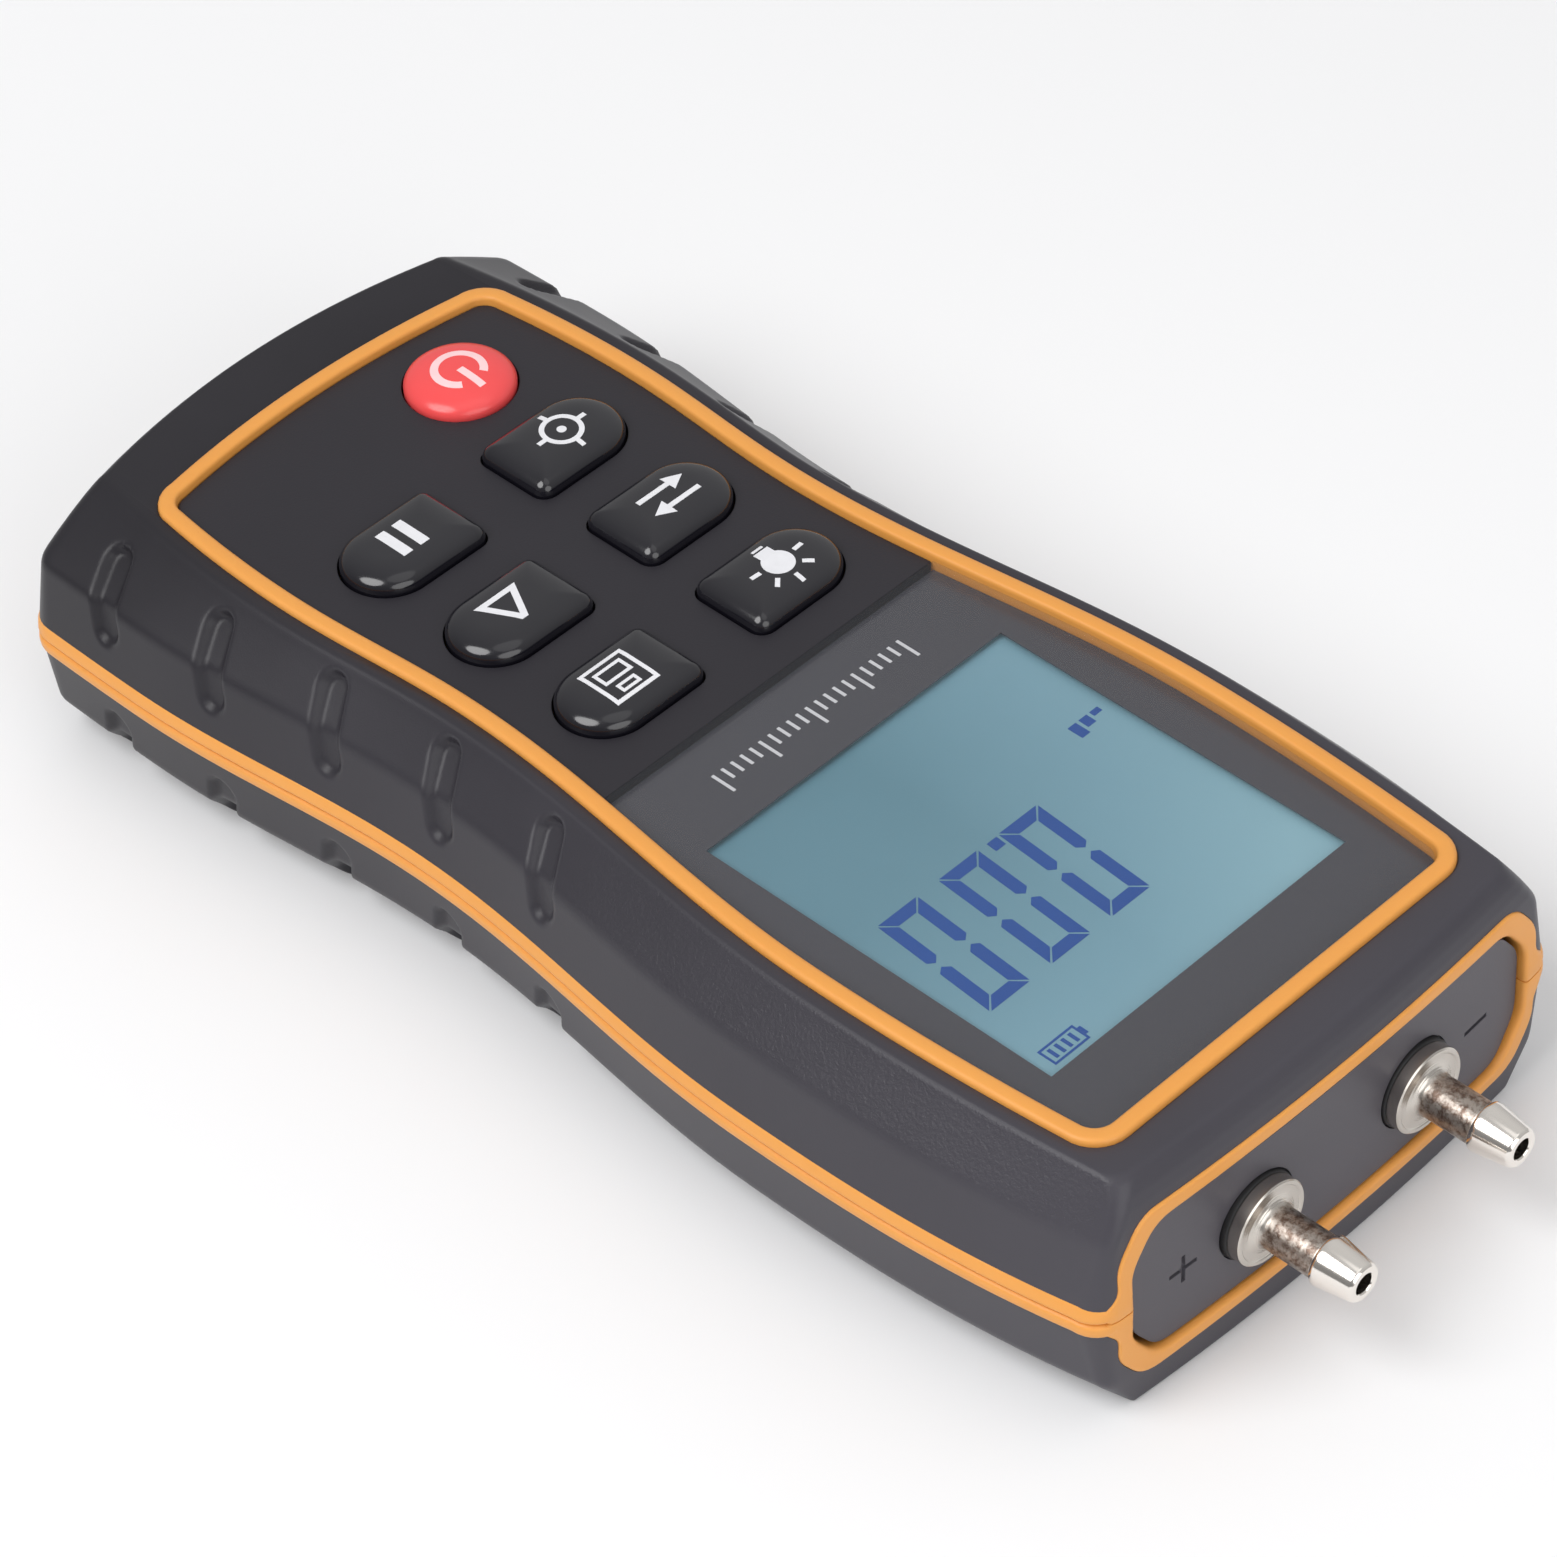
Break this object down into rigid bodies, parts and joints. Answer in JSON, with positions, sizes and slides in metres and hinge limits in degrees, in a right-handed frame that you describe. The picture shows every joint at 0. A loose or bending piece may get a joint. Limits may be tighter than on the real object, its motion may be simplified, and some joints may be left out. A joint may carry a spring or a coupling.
{
  "type": "digital manometer",
  "caption": "Handheld differential pressure meter with display window, keypad, two hose barbs at the end and a battery cover in the back.",
  "frame": {"origin": "centre of the back face, in the plane the instrument lies on", "axes": "+Z out of the display, +Y along the body towards the hose barbs, +X to the right when the display is read"},
  "size_m": [0.0698, 0.158, 0.0298],
  "materials": {
    "orange_abs": "fine satin",
    "black_tpe": "matte, finely textured",
    "dark_abs": "matte",
    "window_acrylic": "clear gloss",
    "mask_print": "printed",
    "black_foam": "matte",
    "white_plastic": "satin",
    "lcd_glass": "gloss",
    "zebra_rubber": "matte",
    "green_board": "solder mask",
    "zinc_steel": "zinc plated",
    "chip_plastic": "matte",
    "silicone": "translucent",
    "nickel_plate": "nickel plated, bright",
    "brass": "turned",
    "key_plastic": "high gloss",
    "red_key_plastic": "gloss",
    "cell_wrap": "film wrap",
    "spring_steel": "nickel plated",
    "red_wire": "PVC",
    "black_wire": "PVC"
  },
  "bodies": {
    "case": {"front_shell": "orange_abs", "front_grip": "black_tpe", "rear_shell": "orange_abs", "rear_grip": "black_tpe", "key_plate": "dark_abs", "display_lens": "window_acrylic", "lens_mask": "mask_print", "lens_gasket": "black_foam", "lcd_frame": "white_plastic", "lcd_glass": "lcd_glass", "backlight_panel": "white_plastic", "zebra_strip": "zebra_rubber", "main_board": "green_board", "board_screws": "zinc_steel", "controller_chip": "chip_plastic", "pressure_sensor": "white_plastic", "plus_tube": "silicone", "minus_tube": "silicone", "end_panel": "dark_abs", "plus_port": "nickel_plate", "minus_port": "nickel_plate", "plus_seal": "black_foam", "minus_seal": "black_foam", "plus_nut": "brass", "minus_nut": "brass", "light_dome": "silicone", "unit_dome": "silicone", "zero_dome": "silicone", "store_dome": "silicone", "difference_dome": "silicone", "hold_dome": "silicone", "power_dome": "silicone", "keypad_mat": "silicone", "cell_1": "cell_wrap", "cell_2": "cell_wrap", "cell_3": "cell_wrap", "positive_contact": "spring_steel", "negative_contact": "spring_steel", "handle_end_bridge": "spring_steel", "display_end_bridge": "spring_steel", "red_lead": "red_wire", "black_lead": "black_wire", "case_screws": "zinc_steel"},
    "light_key": {"light_key": "key_plastic"},
    "unit_key": {"unit_key": "key_plastic"},
    "zero_key": {"zero_key": "key_plastic"},
    "store_key": {"store_key": "key_plastic"},
    "difference_key": {"difference_key": "key_plastic"},
    "hold_key": {"hold_key": "key_plastic"},
    "power_key": {"power_key": "red_key_plastic"},
    "battery_cover": {"battery_cover": "dark_abs"}
  },
  "joints": [
    {"name": "light_key_press", "type": "slide", "parent": "case", "child": "light_key", "axis": [0, 0, 1], "range_m": [-0.0008, 0], "stiffness_N_per_m": 900, "springref_m": 0.0012, "deforming": ["light_dome"]},
    {"name": "unit_key_press", "type": "slide", "parent": "case", "child": "unit_key", "axis": [0, 0, 1], "range_m": [-0.0008, 0], "stiffness_N_per_m": 900, "springref_m": 0.0012, "deforming": ["unit_dome"]},
    {"name": "zero_key_press", "type": "slide", "parent": "case", "child": "zero_key", "axis": [0, 0, 1], "range_m": [-0.0008, 0], "stiffness_N_per_m": 900, "springref_m": 0.0012, "deforming": ["zero_dome"]},
    {"name": "store_key_press", "type": "slide", "parent": "case", "child": "store_key", "axis": [0, 0, 1], "range_m": [-0.0008, 0], "stiffness_N_per_m": 900, "springref_m": 0.0012, "deforming": ["store_dome"]},
    {"name": "difference_key_press", "type": "slide", "parent": "case", "child": "difference_key", "axis": [0, 0, 1], "range_m": [-0.0008, 0], "stiffness_N_per_m": 900, "springref_m": 0.0012, "deforming": ["difference_dome"]},
    {"name": "hold_key_press", "type": "slide", "parent": "case", "child": "hold_key", "axis": [0, 0, 1], "range_m": [-0.0008, 0], "stiffness_N_per_m": 900, "springref_m": 0.0012, "deforming": ["hold_dome"]},
    {"name": "power_key_press", "type": "slide", "parent": "case", "child": "power_key", "axis": [0, 0, 1], "range_m": [-0.0008, 0], "stiffness_N_per_m": 900, "springref_m": 0.0012, "deforming": ["power_dome"]},
    {"name": "battery_cover_hinge", "type": "hinge", "parent": "case", "child": "battery_cover", "pos_m": [0, -0.06355, 0.00085], "axis": [-1, 0, 0], "range_deg": [0, 75]}
  ]
}
